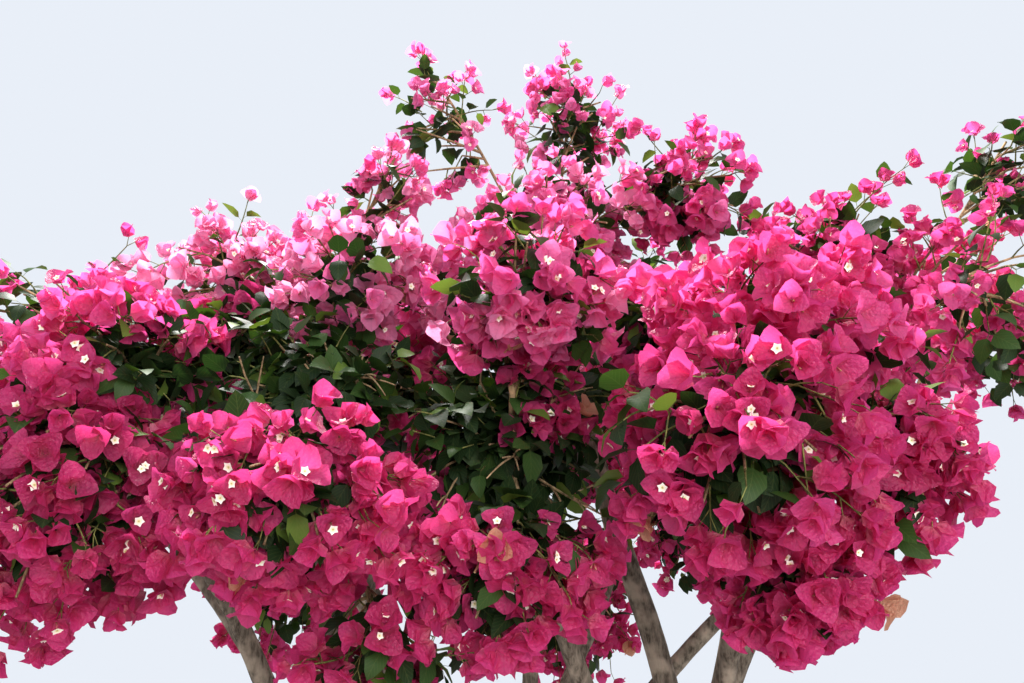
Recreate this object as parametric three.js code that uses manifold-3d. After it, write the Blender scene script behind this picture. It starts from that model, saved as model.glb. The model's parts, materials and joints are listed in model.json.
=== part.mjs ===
// A tall weeping bougainvillea in full bloom, built as it grows: a leaning trunk with a flared foot,
// three climbing stems, boughs that fan out from them, and masses of twigs that end in bracts or leaves.
// Units are millimetres, Z is up, and the origin is the middle of the flat cut at ground level.
import * as THREE from "three";
import { mergeVertices } from "three/addons/utils/BufferGeometryUtils.js";
import Module from "manifold-3d";

const wasm = await Module();
wasm.setup();

// Every piece stands this far off the one that carries it.
const clearance = 0.3;
// How far twigs and blades stay inside the flat borders between two masses.
const borderMargin = 1.5;

const trunk = {
  name: "trunk",
  tip: [38, -42, 470],
  radii: [57, 48],
  flare: 0.65, // the foot is wider than the trunk by this share
  flareHeight: 0.22, // share of the trunk's length over which the flare dies out
  rootRidges: 5,
  ridgeDepth: 0.16,
  rise: 0.9,
  crook: 10,
  sides: 14,
  steps: 8,
};

// Limbs, each after the one that carries it: name, parent, place on the parent as a share of its length, tip,
// radii, how steeply the tip points up, from 0 for level to 1 for upright, and how far it wanders.
const limbs = [
  ["stem_left", "trunk", 0.88, [-245, -60, 1270], [33, 24], 0.72, 28],
  ["stem_right", "trunk", 0.92, [275, -150, 1330], [34, 24], 0.72, 26],
  ["stem_back", "trunk", 0.82, [50, 225, 1230], [31, 22], 0.68, 24],
  ["bough_left", "stem_left", 0.88, [-600, -330, 1850], [21, 13], 0.5, 16],
  ["bough_left_crest", "stem_left", 0.97, [-370, -170, 2090], [21, 13], 0.8, 20],
  ["bough_front_left", "stem_left", 0.72, [-235, -400, 1715], [19, 13], 0.3, 14],
  ["bough_far_left", "stem_left", 0.8, [-735, 40, 1850], [20, 13], 0.5, 18],
  ["bough_back_left", "stem_back", 0.8, [-385, 370, 1740], [20, 13], 0.6, 18],
  ["bough_front", "stem_right", 0.7, [20, -425, 1780], [19, 13], 0.55, 14],
  ["bough_front_right", "stem_right", 0.86, [375, -450, 1785], [21, 14], 0.5, 14],
  ["bough_top", "stem_right", 0.97, [85, -95, 2265], [22, 14], 0.9, 22],
  ["bough_right_crest", "stem_right", 0.92, [690, -150, 2100], [21, 13], 0.6, 18],
  ["bough_far_right", "stem_back", 0.88, [780, 130, 1940], [20, 13], 0.5, 18],
  ["bough_back", "stem_back", 0.96, [240, 430, 1750], [20, 13], 0.6, 16],
  ["bough_back_top", "stem_back", 0.72, [0, 120, 2120], [19, 13], 0.9, 22],
].map(([name, parent, from, tip, radii, rise, crook]) => ({ name, parent, from, tip, radii, rise, crook }));
const limbSides = 6;
const limbSteps = 6;

// Masses of foliage: name, limb, the middle and the three half widths of the space, the habit, the share of
// twigs that end in bracts and not in leaves, and whether there is a close heart to it. A weeping mass hangs,
// a mound spreads, a shoot climbs and an inner one fills the shaded middle of the crown.
const masses = [
  ["left_low", "bough_left", [-588, -565, 1770], [200, 172, 236], "weep", 0.9, true],
  ["left_mid", "bough_left", [-575, -500, 1995], [170, 168, 140], "mound", 0.75, true],
  ["left_high", "bough_left", [-795, -340, 2112], [172, 165, 140], "mound", 0.85, true],
  ["left_crest", "bough_left_crest", [-560, -215, 2235], [215, 182, 152], "mound", 0.7, true],
  ["mid_crest", "bough_left_crest", [-275, -340, 2190], [190, 178, 138], "mound", 0.8, true],
  ["shoot_left", "bough_left_crest", [-232, -235, 2440], [120, 114, 138], "shoot", 0.6, false],
  ["front_left", "bough_front_left", [-292, -615, 1772], [195, 162, 156], "weep", 0.95, true],
  ["tail_shoot", "bough_front_left", [-180, -480, 1595], [158, 128, 110], "weep", 0.6, false],
  ["dark_left", "bough_front_left", [-315, -410, 1975], [205, 172, 150], "mound", 0.15, true],
  ["front_low", "bough_front", [-2, -545, 1680], [170, 148, 142], "weep", 0.95, true],
  ["centre_dark", "bough_front", [-15, -325, 1910], [262, 195, 200], "mound", 0.2, true],
  ["centre_bloom", "bough_front", [25, -555, 2090], [172, 155, 140], "mound", 0.9, true],
  ["right_big", "bough_front_right", [270, -690, 1832], [202, 175, 178], "weep", 0.95, true],
  ["right_tail", "bough_front_right", [350, -600, 1672], [132, 128, 125], "weep", 0.9, true],
  ["right_upper", "bough_front_right", [350, -610, 1998], [215, 178, 136], "mound", 0.9, true],
  ["right_side", "bough_front_right", [518, -555, 1842], [126, 145, 168], "weep", 0.85, true],
  ["crown_mid", "bough_top", [80, -280, 2330], [220, 188, 158], "mound", 0.85, true],
  ["top_shoot", "bough_top", [-168, -98, 2685], [140, 122, 230], "shoot", 0.7, false],
  ["top_spray", "bough_top", [132, -125, 2645], [150, 135, 190], "shoot", 0.8, false],
  ["right_top", "bough_top", [342, -300, 2388], [155, 150, 148], "mound", 0.85, true],
  ["right_crest", "bough_right_crest", [602, -200, 2322], [212, 178, 128], "mound", 0.85, true],
  ["right_edge", "bough_right_crest", [838, -300, 2192], [215, 190, 208], "mound", 0.7, false],
  ["edge_shoot", "bough_right_crest", [1060, -130, 2545], [172, 125, 142], "shoot", 0.35, false],
  ["far_left", "bough_far_left", [-940, -110, 1975], [235, 240, 220], "weep", 0.8, true],
  ["left_back", "bough_far_left", [-740, 260, 2070], [275, 260, 240], "mound", 0.75, true],
  ["back_left_low", "bough_back_left", [-560, 540, 1760], [260, 220, 255], "weep", 0.8, true],
  ["back_mid", "bough_back_left", [-215, 590, 1960], [280, 245, 240], "mound", 0.75, true],
  ["back_low", "bough_back", [150, 690, 1680], [250, 210, 240], "weep", 0.85, true],
  ["back_centre", "bough_back", [150, 420, 2110], [260, 240, 220], "mound", 0.75, true],
  ["back_right", "bough_back", [530, 540, 1900], [285, 245, 260], "weep", 0.8, true],
  ["back_left_top", "bough_back_top", [-270, 170, 2310], [260, 235, 200], "mound", 0.75, true],
  ["back_right_top", "bough_back_top", [320, 190, 2320], [265, 240, 205], "mound", 0.75, true],
  ["right_back", "bough_far_right", [742, 285, 2125], [305, 255, 230], "mound", 0.75, true],
  ["far_right", "bough_far_right", [1075, 10, 2215], [215, 215, 190], "weep", 0.75, true],
  ["heart_left", "bough_left_crest", [-500, 60, 2060], [205, 225, 185], "inner", 0.3, true],
  ["heart_mid", "bough_back_top", [50, 20, 2070], [205, 180, 190], "inner", 0.2, true],
  ["heart_right", "bough_right_crest", [365, -70, 2120], [185, 165, 165], "inner", 0.25, true],
  ["heart_far_right", "bough_far_right", [680, 0, 2070], [215, 165, 175], "inner", 0.3, true],
  ["heart_front_left", "bough_left_crest", [-215, -120, 2030], [185, 175, 175], "inner", 0.3, true],
  ["heart_front_right", "bough_front_right", [570, -310, 2030], [185, 165, 170], "inner", 0.4, true],
  ["heart_crest_left", "bough_left", [-465, -325, 2060], [155, 150, 125], "inner", 0.3, true],
  ["heart_centre_right", "bough_top", [285, -325, 2090], [165, 150, 140], "inner", 0.4, true],
  ["heart_crest_mid", "bough_back_top", [-125, -130, 2225], [150, 145, 130], "inner", 0.7, true],
].map(([name, limb, at, size, habit, bloom, dense]) => ({ name, limb, at, size, habit, bloom, dense }));

// The coarse blades, each larger than life and standing for a cluster of bracts or a few leaves.
const blade = {
  lengthShare: 0.72,
  widthShare: 0.8,
  keelShare: 0.06,
  widest: 0.42,
  sink: 0.8,
  fits: [1, 0.92, 0.84, 0.76, 0.68, 0.6],
};
// "joints" are the places of the blades along a twig and how far each leans out from it, in degrees.
const joints = [[1, 8], [0.86, 62], [0.68, 66]];
const twig = { radii: [5.4, 4], steps: 2, reach: 0.62 };
const stem = { radii: [6, 6.5], steps: 3, ringRadius: [0, 0, 6.6, 7.6, 8.6, 9.2] };
const core = {
  share: 0.4,
  leastShare: 0.24,
  shrink: 0.04,
  rootShare: 0.62,
  blades: 6,
  footShare: 0.76,
  lean: 52,
};
// So many twigs a mass, and one more for each step of its girth.
const twigCount = { dense: 3, open: 4, inner: 0, spacing: 320 };
const lift = { weep: 0.3, mound: 0.2, shoot: -0.05, inner: 0.1 };
const heartHeight = { weep: 0.05, mound: 0, shoot: 0.45, inner: 0 };

const finishes = {
  bark: new THREE.MeshStandardMaterial({ color: 0x7d6650, roughness: 0.9, metalness: 0 }),
  bract: new THREE.MeshStandardMaterial({ color: 0xe0327f, roughness: 0.6, metalness: 0 }),
  leaf: new THREE.MeshStandardMaterial({ color: 0x2f5426, roughness: 0.5, metalness: 0 }),
};

const up = new THREE.Vector3(0, 0, 1);
const goldenAngle = Math.PI * (3 - Math.sqrt(5));

function vector(list) {
  return new THREE.Vector3(...list);
}

// Numbers from 0 to 1 that are the same each run for one seed.
function seededDraws(seed) {
  let state = seed >>> 0;
  return () => {
    state = (state + 0x6d2b79f5) >>> 0;
    let mixed = Math.imul(state ^ (state >>> 15), state | 1);
    mixed ^= mixed + Math.imul(mixed ^ (mixed >>> 7), mixed | 61);
    return ((mixed ^ (mixed >>> 14)) >>> 0) / 4294967296;
  };
}

// The line of a limb: it leaves along its parent, bends over to its tip and wanders a little on the way.
class LimbLine extends THREE.Curve {
  constructor(start, along, tip, rise, crook, seed) {
    super();
    const reach = start.distanceTo(tip);
    const outward = tip.clone().sub(start).setZ(0).normalize();
    const ending = outward.multiplyScalar(1 - rise).addScaledVector(up, rise).normalize();
    const leaving = along.clone().addScaledVector(tip.clone().sub(start).normalize(), 0.8).normalize();
    this.bend = new THREE.CubicBezierCurve3(
      start,
      start.clone().addScaledVector(leaving, 0.38 * reach),
      tip.clone().addScaledVector(ending, -0.33 * reach),
      tip,
    );
    const draw = seededDraws(seed);
    this.crook = crook;
    this.phases = [draw() * 2 * Math.PI, draw() * 2 * Math.PI];
  }

  getPoint(t, target = new THREE.Vector3()) {
    this.bend.getPoint(t, target);
    const sway = this.crook * Math.sin(Math.PI * t) ** 2;
    target.x += sway * Math.sin(5 * t + this.phases[0]);
    target.y += sway * Math.sin(6 * t + this.phases[1]);
    return target;
  }
}

// A closed tapering tube: a cylinder whose rings are moved onto the curve.
function taperedTube(curve, radiusAt, sides, steps) {
  const tube = new THREE.CylinderGeometry(1, 1, 1, sides, steps);
  const frames = curve.computeFrenetFrames(steps, false);
  const places = tube.attributes.position;
  for (let i = 0; i < places.count; i++) {
    const [x, y, z] = [places.getX(i), places.getY(i), places.getZ(i)];
    const step = Math.round((y + 0.5) * steps);
    const share = step / steps;
    const radius = radiusAt(share, Math.atan2(z, x));
    const place = curve
      .getPointAt(share)
      .addScaledVector(frames.binormals[step], radius * x)
      .addScaledVector(frames.normals[step], radius * z);
    places.setXYZ(i, place.x, place.y, place.z);
  }
  return tube;
}

// A geometry as a solid: only its places are kept, and those that coincide are merged.
function solidOf(geometry) {
  const bare = geometry.index ? geometry.toNonIndexed() : geometry.clone();
  bare.deleteAttribute("normal");
  bare.deleteAttribute("uv");
  const merged = mergeVertices(bare, 1e-4);
  const mesh = new wasm.Mesh({
    numProp: 3,
    vertProperties: merged.attributes.position.array,
    triVerts: new Uint32Array(merged.index.array),
  });
  return new wasm.Manifold(mesh);
}

// The largest closed body of a solid. Loose scraps and sealed hollows are left behind.
function largestBody(solid) {
  const bodies = solid.decompose();
  bodies.sort((a, b) => b.volume() - a.volume());
  return bodies[0];
}

function geometryOf(solid) {
  const mesh = solid.getMesh();
  const places = new Float32Array(mesh.numVert * 3);
  for (let i = 0; i < mesh.numVert; i++) {
    places.set(mesh.vertProperties.subarray(i * mesh.numProp, i * mesh.numProp + 3), i * 3);
  }
  const geometry = new THREE.BufferGeometry();
  geometry.setAttribute("position", new THREE.BufferAttribute(places, 3));
  geometry.setIndex(new THREE.BufferAttribute(mesh.triVerts, 1));
  geometry.computeVertexNormals();
  return geometry;
}

// The trunk's radius: a gentle taper, and root ridges that fan out over the last hand's breadth.
function trunkRadius(share, angle) {
  const taper = THREE.MathUtils.lerp(trunk.radii[0], trunk.radii[1], share);
  const foot = Math.exp(-((share / trunk.flareHeight) ** 1.3));
  const ridges = 1 + trunk.ridgeDepth * Math.cos(trunk.rootRidges * angle + 0.7);
  return taper * (1 + trunk.flare * foot * ridges);
}

function trunkSolid() {
  const tube = taperedTube(trunk.line, trunkRadius, trunk.sides, trunk.steps);
  const places = tube.attributes.position;
  const ground = 0.01; // the lowest ring lies this close to level, and is made exactly flat
  for (let i = 0; i < places.count; i++) {
    if (Math.abs(places.getZ(i)) < ground * trunk.radii[0]) places.setZ(i, 0);
  }
  return solidOf(tube);
}

function limbTube(limb, extra) {
  const radiusAt = (share) => THREE.MathUtils.lerp(limb.radii[0], limb.radii[1], share) + extra;
  return solidOf(taperedTube(limb.line, radiusAt, limbSides, limbSteps));
}

// Lays out the line of every limb, from the trunk outwards.
function layOutLimbs() {
  const ground = vector([0, 0, 0]);
  trunk.line = new LimbLine(ground, up, vector(trunk.tip), trunk.rise, trunk.crook, 1);
  trunk.line.bend.v1.set(0, 0, trunk.line.bend.v1.z);
  const byName = new Map([[trunk.name, trunk]]);
  limbs.forEach((limb, index) => {
    const parent = byName.get(limb.parent);
    const start = parent.line.getPointAt(limb.from);
    const along = parent.line.getTangentAt(limb.from);
    limb.line = new LimbLine(start, along, vector(limb.tip), limb.rise, limb.crook, 11 + index);
    byName.set(limb.name, limb);
  });
  return byName;
}

// Points along a line with its radius there, for telling what would touch it.
function beads(line, radii, owner, count = 36) {
  return Array.from({ length: count + 1 }, (_, i) => ({
    place: line.getPointAt(i / count),
    radius: THREE.MathUtils.lerp(radii[0], radii[1], i / count),
    owner,
  }));
}

// Each mass's stem starts in a ring on the flat end of its bough, in the order in which they lie round it.
function layOutStems(byName) {
  for (const limb of limbs) {
    const served = masses.filter((mass) => mass.limb === limb.name);
    const tip = limb.line.getPointAt(1);
    const frames = limb.line.computeFrenetFrames(limbSteps, false);
    const along = frames.tangents[limbSteps];
    const across = frames.normals[limbSteps];
    const aside = frames.binormals[limbSteps];
    for (const mass of served) {
      const way = vector(mass.at).sub(tip);
      mass.bearing = Math.atan2(way.dot(aside), way.dot(across));
    }
    served.sort((a, b) => a.bearing - b.bearing);
    served.forEach((mass, place) => {
      const turn = served[0].bearing + (place * 2 * Math.PI) / served.length;
      const ring = stem.ringRadius[served.length];
      const foot = tip.clone()
        .addScaledVector(along, clearance)
        .addScaledVector(across, ring * Math.cos(turn))
        .addScaledVector(aside, ring * Math.sin(turn));
      const heart = vector(mass.at);
      heart.z += heartHeight[mass.habit] * mass.size[2];
      const elbow = foot.clone().addScaledVector(along, 0.42 * foot.distanceTo(heart));
      mass.stemLine = new THREE.QuadraticBezierCurve3(foot, elbow, heart);
    });
  }
  return byName;
}

// The flat borders between a mass's space and its neighbours', where two rounded spaces meet.
function bordersOf(mass) {
  const mine = vector(mass.at);
  return masses.filter((other) => other !== mass).map((other) => {
    const theirs = vector(other.at);
    const across = theirs.clone().sub(mine);
    const gap = across.length();
    const half = (gap * gap + girthOf(mass) ** 2 - girthOf(other) ** 2) / (2 * gap);
    return new THREE.Plane().setFromNormalAndCoplanarPoint(
      across.normalize(),
      mine.clone().addScaledVector(across, half),
    );
  });
}

// True if every point is inside the mass's own space.
function staysInside(points, mass) {
  const middle = vector(mass.at);
  const size = vector(mass.size);
  return points.every((point) =>
    point.clone().sub(middle).divide(size).length() < 1 &&
    mass.borders.every((border) => border.distanceToPoint(point) < -borderMargin));
}

// True if a line of points of this thickness touches no limb and no other stem.
function passesClear(points, mass, thickness) {
  return mass.obstacles.every((bead) =>
    points.every((point) => bead.place.distanceTo(point) > bead.radius + thickness));
}

// True if no face of the blade comes near a limb or another stem.
function standsClear(corners, mass) {
  const nearest = new THREE.Vector3();
  const faces = [[0, 1, 2], [0, 1, 3], [0, 2, 3], [1, 2, 3]]
    .map((trio) => new THREE.Triangle(...trio.map((i) => corners[i])));
  return mass.obstacles.every((bead) =>
    faces.every((face) => {
      face.closestPointToPoint(bead.place, nearest);
      return nearest.distanceTo(bead.place) > bead.radius + 3;
    }));
}

// A kite-shaped blade with a keel below: a tetrahedron whose corners are its foot, point and two sides.
function bladeGeometry(length) {
  const geometry = new THREE.TetrahedronGeometry(1);
  const places = geometry.attributes.position;
  for (let i = 0; i < places.count; i++) {
    const side = Math.sign(places.getX(i));
    const halfWidth = 0.5 * blade.widthShare * length;
    if (places.getZ(i) > 0) places.setXYZ(i, 0, side > 0 ? 0 : length, 0);
    else places.setXYZ(i, side * halfWidth, blade.widest * length, blade.keelShare * length);
  }
  return geometry;
}

// Places a blade with its foot sunk in the twig at "root", pointing along "way".
function placeBlade(length, root, way, facing) {
  const side = new THREE.Vector3().crossVectors(way, facing).normalize();
  const face = new THREE.Vector3().crossVectors(side, way).normalize();
  const turn = new THREE.Matrix4().makeBasis(side, way, face);
  const foot = root.clone().addScaledVector(way, -blade.sink);
  return bladeGeometry(length).applyMatrix4(turn.setPosition(foot));
}

function cornersOf(geometry) {
  const bare = geometry.clone();
  bare.deleteAttribute("normal");
  bare.deleteAttribute("uv");
  const places = mergeVertices(bare, 1e-4).attributes.position;
  return Array.from({ length: places.count }, (_, i) => new THREE.Vector3().fromBufferAttribute(places, i));
}

// Directions spread evenly over a ball, turned by a seeded angle. The first points down or up with the habit.
function spreadDirections(count, turn, habit) {
  const sign = habit === "shoot" ? 1 : -1;
  return Array.from({ length: count }, (_, i) => {
    const height = sign * (1 - (2 * i) / (count - 1 || 1)) * 0.97;
    const round = Math.sqrt(1 - height * height);
    const angle = turn + i * goldenAngle;
    return new THREE.Vector3(round * Math.cos(angle), round * Math.sin(angle), height);
  });
}

// The line of one twig, from the mass's stem or core to its place in the crown. It rises and bends over.
function twigLine(mass, direction, place, coreShare) {
  const reach = direction.clone().multiply(vector(mass.size));
  const target = vector(mass.at).addScaledVector(reach, twig.reach);
  const start = mass.stemLine.getPointAt(THREE.MathUtils.lerp(0.97, 0.45, place));
  if (coreShare) start.copy(vector(mass.at)).addScaledVector(reach, coreShare * core.rootShare);
  const elbow = start.clone().lerp(target, 0.5);
  elbow.z += lift[mass.habit] * start.distanceTo(target);
  return new THREE.QuadraticBezierCurve3(start, elbow, target);
}

// The mean half width of a mass.
function girthOf(mass) {
  return (mass.size[0] + mass.size[1] + mass.size[2]) / 3;
}

// A blade that leans out from "way" by some degrees, turned round it. One that doesn't fit is tried smaller.
function fittingBlade(mass, root, way, lean, turn, draw) {
  const level = Math.abs(way.z) < 0.9 ? up : new THREE.Vector3(1, 0, 0);
  const around = new THREE.Vector3().crossVectors(way, level).normalize().applyAxisAngle(way, turn);
  const angle = THREE.MathUtils.degToRad(lean);
  const pointing = way.clone().multiplyScalar(Math.cos(angle)).addScaledVector(around, Math.sin(angle));
  const facing = lean < 20 ? around : way;
  const fullLength = blade.lengthShare * girthOf(mass) * (0.9 + 0.25 * draw());
  const sizes = blade.fits.map((part) => placeBlade(part * fullLength, root, pointing, facing));
  return sizes.find((geometry) => {
    const corners = cornersOf(geometry);
    return staysInside(corners, mass) && standsClear(corners, mass);
  });
}

// The blades on a twig, each turned on from the one before.
function bladesOn(line, mass, draw) {
  const turn = draw() * 2 * Math.PI;
  return joints
    .map(([share, lean], order) => {
      const around = turn + order * goldenAngle;
      return fittingBlade(mass, line.getPoint(share), line.getTangent(share), lean, around, draw);
    })
    .filter(Boolean);
}

// Blades that grow from close to the heart and lean over it, so that it shows only between them.
function bladesOnCore(mass, share, draw) {
  const directions = spreadDirections(core.blades, draw() * 2 * Math.PI, mass.habit);
  return directions
    .map((direction) => {
      const root = direction.clone().multiply(vector(mass.size)).multiplyScalar(share * core.footShare);
      return fittingBlade(mass, root.add(vector(mass.at)), direction, core.lean, draw() * 2 * Math.PI, draw);
    })
    .filter(Boolean);
}

// The close heart of a dense mass: as large as fits between its borders, the limbs and the other stems.
function coreOf(mass) {
  for (let share = core.share; share >= core.leastShare; share -= core.shrink) {
    const geometry = new THREE.IcosahedronGeometry(1, 0);
    geometry.scale(...mass.size.map((half) => half * share)).translate(...mass.at);
    const size = vector(mass.size).multiplyScalar(share);
    const clear = mass.obstacles.every((bead) => {
      const room = size.clone().addScalar(bead.radius + 3);
      return bead.place.clone().sub(vector(mass.at)).divide(room).length() > 1;
    });
    if (clear && staysInside(cornersOf(geometry), mass)) return { geometry, share };
  }
  return { geometry: null, share: 0 };
}

function massSolid(mass, index) {
  const draw = seededDraws(101 + index);
  const stemRadius = (share) => THREE.MathUtils.lerp(stem.radii[0], stem.radii[1], share);
  const twigRadius = (share) => THREE.MathUtils.lerp(twig.radii[0], twig.radii[1], share);
  const pieces = [taperedTube(mass.stemLine, stemRadius, 3, stem.steps)];
  const heart = mass.dense ? coreOf(mass) : { geometry: null, share: 0 };
  if (heart.geometry) pieces.push(heart.geometry, ...bladesOnCore(mass, heart.share, draw));
  const least = mass.habit === "inner" ? "inner" : heart.geometry ? "dense" : "open";
  const count = twigCount[least] + girthOf(mass) / twigCount.spacing;
  const directions = spreadDirections(Math.round(count), draw() * 2 * Math.PI, mass.habit);
  directions.forEach((direction, order) => {
    const line = twigLine(mass, direction, order / directions.length, heart.share);
    const way = line.getSpacedPoints(10).slice(2);
    const clear = staysInside(way, mass) && passesClear(way, mass, twig.radii[0] + 3);
    const blades = clear ? bladesOn(line, mass, draw) : [];
    const steps = heart.geometry ? 1 : twig.steps;
    if (blades.length) pieces.push(taperedTube(line, twigRadius, 3, steps), ...blades);
  });
  return largestBody(pieces.map(solidOf).reduce((joined, piece) => joined.add(piece)));
}

// A limb, cut clear of its parent and of the limbs that were built before it.
function limbSolid(limb, built) {
  const body = built.reduce((left, other) => left.subtract(other), limbTube(limb, 0));
  return largestBody(body);
}

function namedMesh(name, geometry, finish) {
  const mesh = new THREE.Mesh(geometry, finish);
  mesh.name = name;
  return mesh;
}

function bougainvillea() {
  const plant = new THREE.Group();
  layOutStems(layOutLimbs());
  for (const mass of masses) mass.borders = bordersOf(mass);
  plant.add(namedMesh(trunk.name, geometryOf(trunkSolid()), finishes.bark));

  const wood = new THREE.Group();
  const widerTrunk = (share, angle) => trunkRadius(share, angle) + clearance;
  const built = [solidOf(taperedTube(trunk.line, widerTrunk, trunk.sides, trunk.steps))];
  for (const limb of limbs) {
    wood.add(namedMesh(limb.name, geometryOf(limbSolid(limb, built)), finishes.bark));
    built.push(limbTube(limb, clearance));
  }

  const crown = new THREE.Group();
  const everything = [
    ...limbs.flatMap((limb) => beads(limb.line, limb.radii, limb.name)),
    ...masses.flatMap((mass) => beads(mass.stemLine, stem.radii, mass.name)),
  ];
  masses.forEach((mass, index) => {
    const range = 1.3 * Math.max(...mass.size);
    mass.obstacles = everything.filter(
      (bead) => bead.owner !== mass.name && bead.place.distanceTo(vector(mass.at)) < range,
    );
    const finish = mass.bloom > 0.5 ? finishes.bract : finishes.leaf;
    crown.add(namedMesh("foliage_" + mass.name, geometryOf(massSolid(mass, index)), finish));
  });
  plant.add(wood, crown);
  return plant;
}

export default bougainvillea();
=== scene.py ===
import json
import math

import bpy
import numpy as np
from mathutils import Matrix, Quaternion, Vector, noise

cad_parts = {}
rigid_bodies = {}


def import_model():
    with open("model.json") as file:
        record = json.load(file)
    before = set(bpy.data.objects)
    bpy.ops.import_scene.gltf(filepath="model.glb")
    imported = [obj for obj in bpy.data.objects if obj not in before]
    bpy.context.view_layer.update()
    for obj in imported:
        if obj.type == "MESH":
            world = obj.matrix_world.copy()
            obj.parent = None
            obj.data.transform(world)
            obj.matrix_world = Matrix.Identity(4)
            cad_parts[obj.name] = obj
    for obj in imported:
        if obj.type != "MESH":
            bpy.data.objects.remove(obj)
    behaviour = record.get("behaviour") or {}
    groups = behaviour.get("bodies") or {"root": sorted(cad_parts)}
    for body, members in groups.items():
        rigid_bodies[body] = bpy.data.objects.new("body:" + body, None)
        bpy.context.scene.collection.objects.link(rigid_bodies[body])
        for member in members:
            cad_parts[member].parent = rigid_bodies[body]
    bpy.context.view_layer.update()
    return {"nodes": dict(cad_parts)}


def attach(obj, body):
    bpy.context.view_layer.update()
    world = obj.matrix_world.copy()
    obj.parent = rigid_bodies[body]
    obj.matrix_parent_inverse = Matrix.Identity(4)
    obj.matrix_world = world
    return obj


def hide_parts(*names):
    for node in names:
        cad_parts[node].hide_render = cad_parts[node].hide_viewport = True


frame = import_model()
print("frame loaded,", len(frame["nodes"]), "solids")

mm = 0.001
up = Vector((0, 0, 1))
fullTurn = 2 * math.pi
goldenAngle = math.pi * (3 - math.sqrt(5))
seeds = {"trunk": 1, "limbs": 11, "masses": 101, "bracts": 500, "leaves": 700}


def addObject(name, data):
    made = bpy.data.objects.new(name, data)
    bpy.context.scene.collection.objects.link(made)
    return made


def meshOf(name, points, faces=(), edges=()):
    data = bpy.data.meshes.new(name)
    data.from_pydata([tuple(point) for point in points], edges, faces)
    return data


def plainMesh(made):
    # What an object looks like with its modifiers, as a mesh of its own.
    return bpy.data.meshes.new_from_object(made.evaluated_get(bpy.context.evaluated_depsgraph_get()))


# Camera: a wide lens below the crown, tilted up at it.
cameraSetup = {"place": (0.0, -1.65, 1.6), "tiltUp": 20.0, "lens": 18.0, "sensorWidth": 22.3, "near": 0.02}
cameraData = bpy.data.cameras.new("camera")
cameraData.sensor_width = cameraSetup["sensorWidth"]
cameraData.lens = cameraSetup["lens"]
cameraData.clip_start = cameraSetup["near"]
camera = addObject("camera", cameraData)
camera.location = cameraSetup["place"]
camera.rotation_euler = (math.radians(90 + cameraSetup["tiltUp"]), 0, 0)
bpy.context.scene.camera = camera

trunkRow = {
    "tip": (38, -42, 470), "radii": (57, 48), "rise": 0.9, "crook": 10,
    "flare": 0.65, "flareHeight": 0.22, "flarePower": 1.3,
    "rootRidges": 5, "ridgeDepth": 0.16, "ridgeTurn": 0.7,
}
# Each limb: its name, the one that carries it and where, its tip, its radii, its rise and its crook.
limbRows = [
    ("stem_left", "trunk", 0.88, (-245, -60, 1270), (33, 24), 0.72, 28),
    ("stem_right", "trunk", 0.92, (275, -150, 1330), (34, 24), 0.72, 26),
    ("stem_back", "trunk", 0.82, (50, 225, 1230), (31, 22), 0.68, 24),
    ("bough_left", "stem_left", 0.88, (-600, -330, 1850), (21, 13), 0.5, 16),
    ("bough_left_crest", "stem_left", 0.97, (-370, -170, 2090), (21, 13), 0.8, 20),
    ("bough_front_left", "stem_left", 0.72, (-235, -400, 1715), (19, 13), 0.3, 14),
    ("bough_far_left", "stem_left", 0.8, (-735, 40, 1850), (20, 13), 0.5, 18),
    ("bough_back_left", "stem_back", 0.8, (-385, 370, 1740), (20, 13), 0.6, 18),
    ("bough_front", "stem_right", 0.7, (20, -425, 1780), (19, 13), 0.55, 14),
    ("bough_front_right", "stem_right", 0.86, (375, -450, 1785), (21, 14), 0.5, 14),
    ("bough_top", "stem_right", 0.97, (85, -95, 2265), (22, 14), 0.9, 22),
    ("bough_right_crest", "stem_right", 0.92, (690, -150, 2100), (21, 13), 0.6, 18),
    ("bough_far_right", "stem_back", 0.88, (780, 130, 1940), (20, 13), 0.5, 18),
    ("bough_back", "stem_back", 0.96, (240, 430, 1750), (20, 13), 0.6, 16),
    ("bough_back_top", "stem_back", 0.72, (0, 120, 2120), (19, 13), 0.9, 22),
]

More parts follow.
